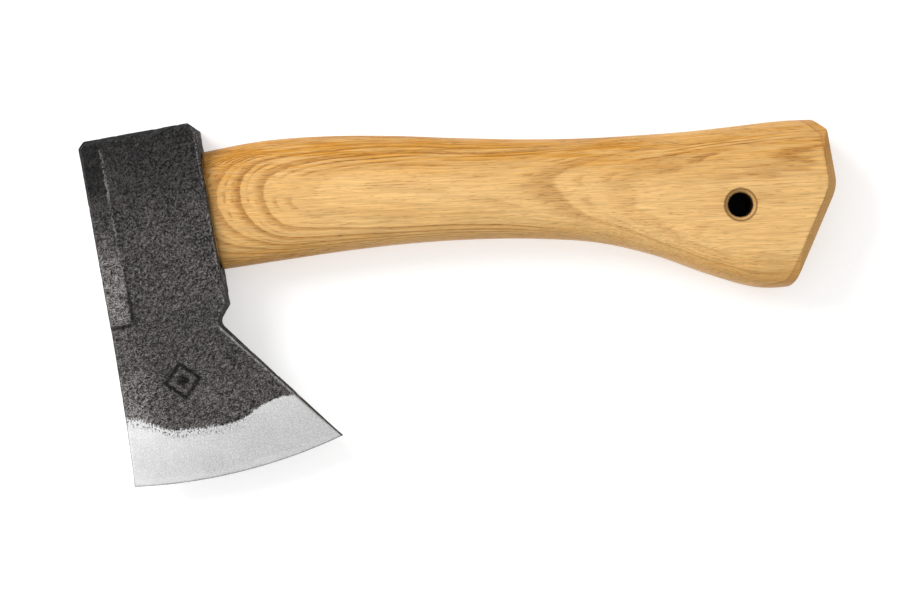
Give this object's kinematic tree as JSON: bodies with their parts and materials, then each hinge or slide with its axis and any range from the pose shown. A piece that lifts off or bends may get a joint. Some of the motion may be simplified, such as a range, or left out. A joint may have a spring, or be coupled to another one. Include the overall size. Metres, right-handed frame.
{
  "type": "hatchet",
  "caption": "Short camping hatchet: forged black steel head with a ground edge on a curved wooden handle with a knob and a hanging hole.",
  "frame": {"origin": "under the middle of the hatchet's outline, on the surface that it lies on, flat on its side", "axes": "+X along the eye of the head, from the head to the handle's butt; +Y from the cutting edge to the poll; +Z square to the cheeks of the head"},
  "size_m": [0.2512, 0.1192, 0.026],
  "materials": {
    "forged_steel": "black forge scale, ground bright along the cutting edge",
    "handle_wood": "clear satin varnish",
    "wedge_wood": "bare end grain",
    "ring_steel": "dull"
  },
  "bodies": {
    "root": {"axe_head": "forged_steel", "handle": "handle_wood", "eye_wedge": "wedge_wood", "ring_wedge": "ring_steel"}
  },
  "joints": []
}
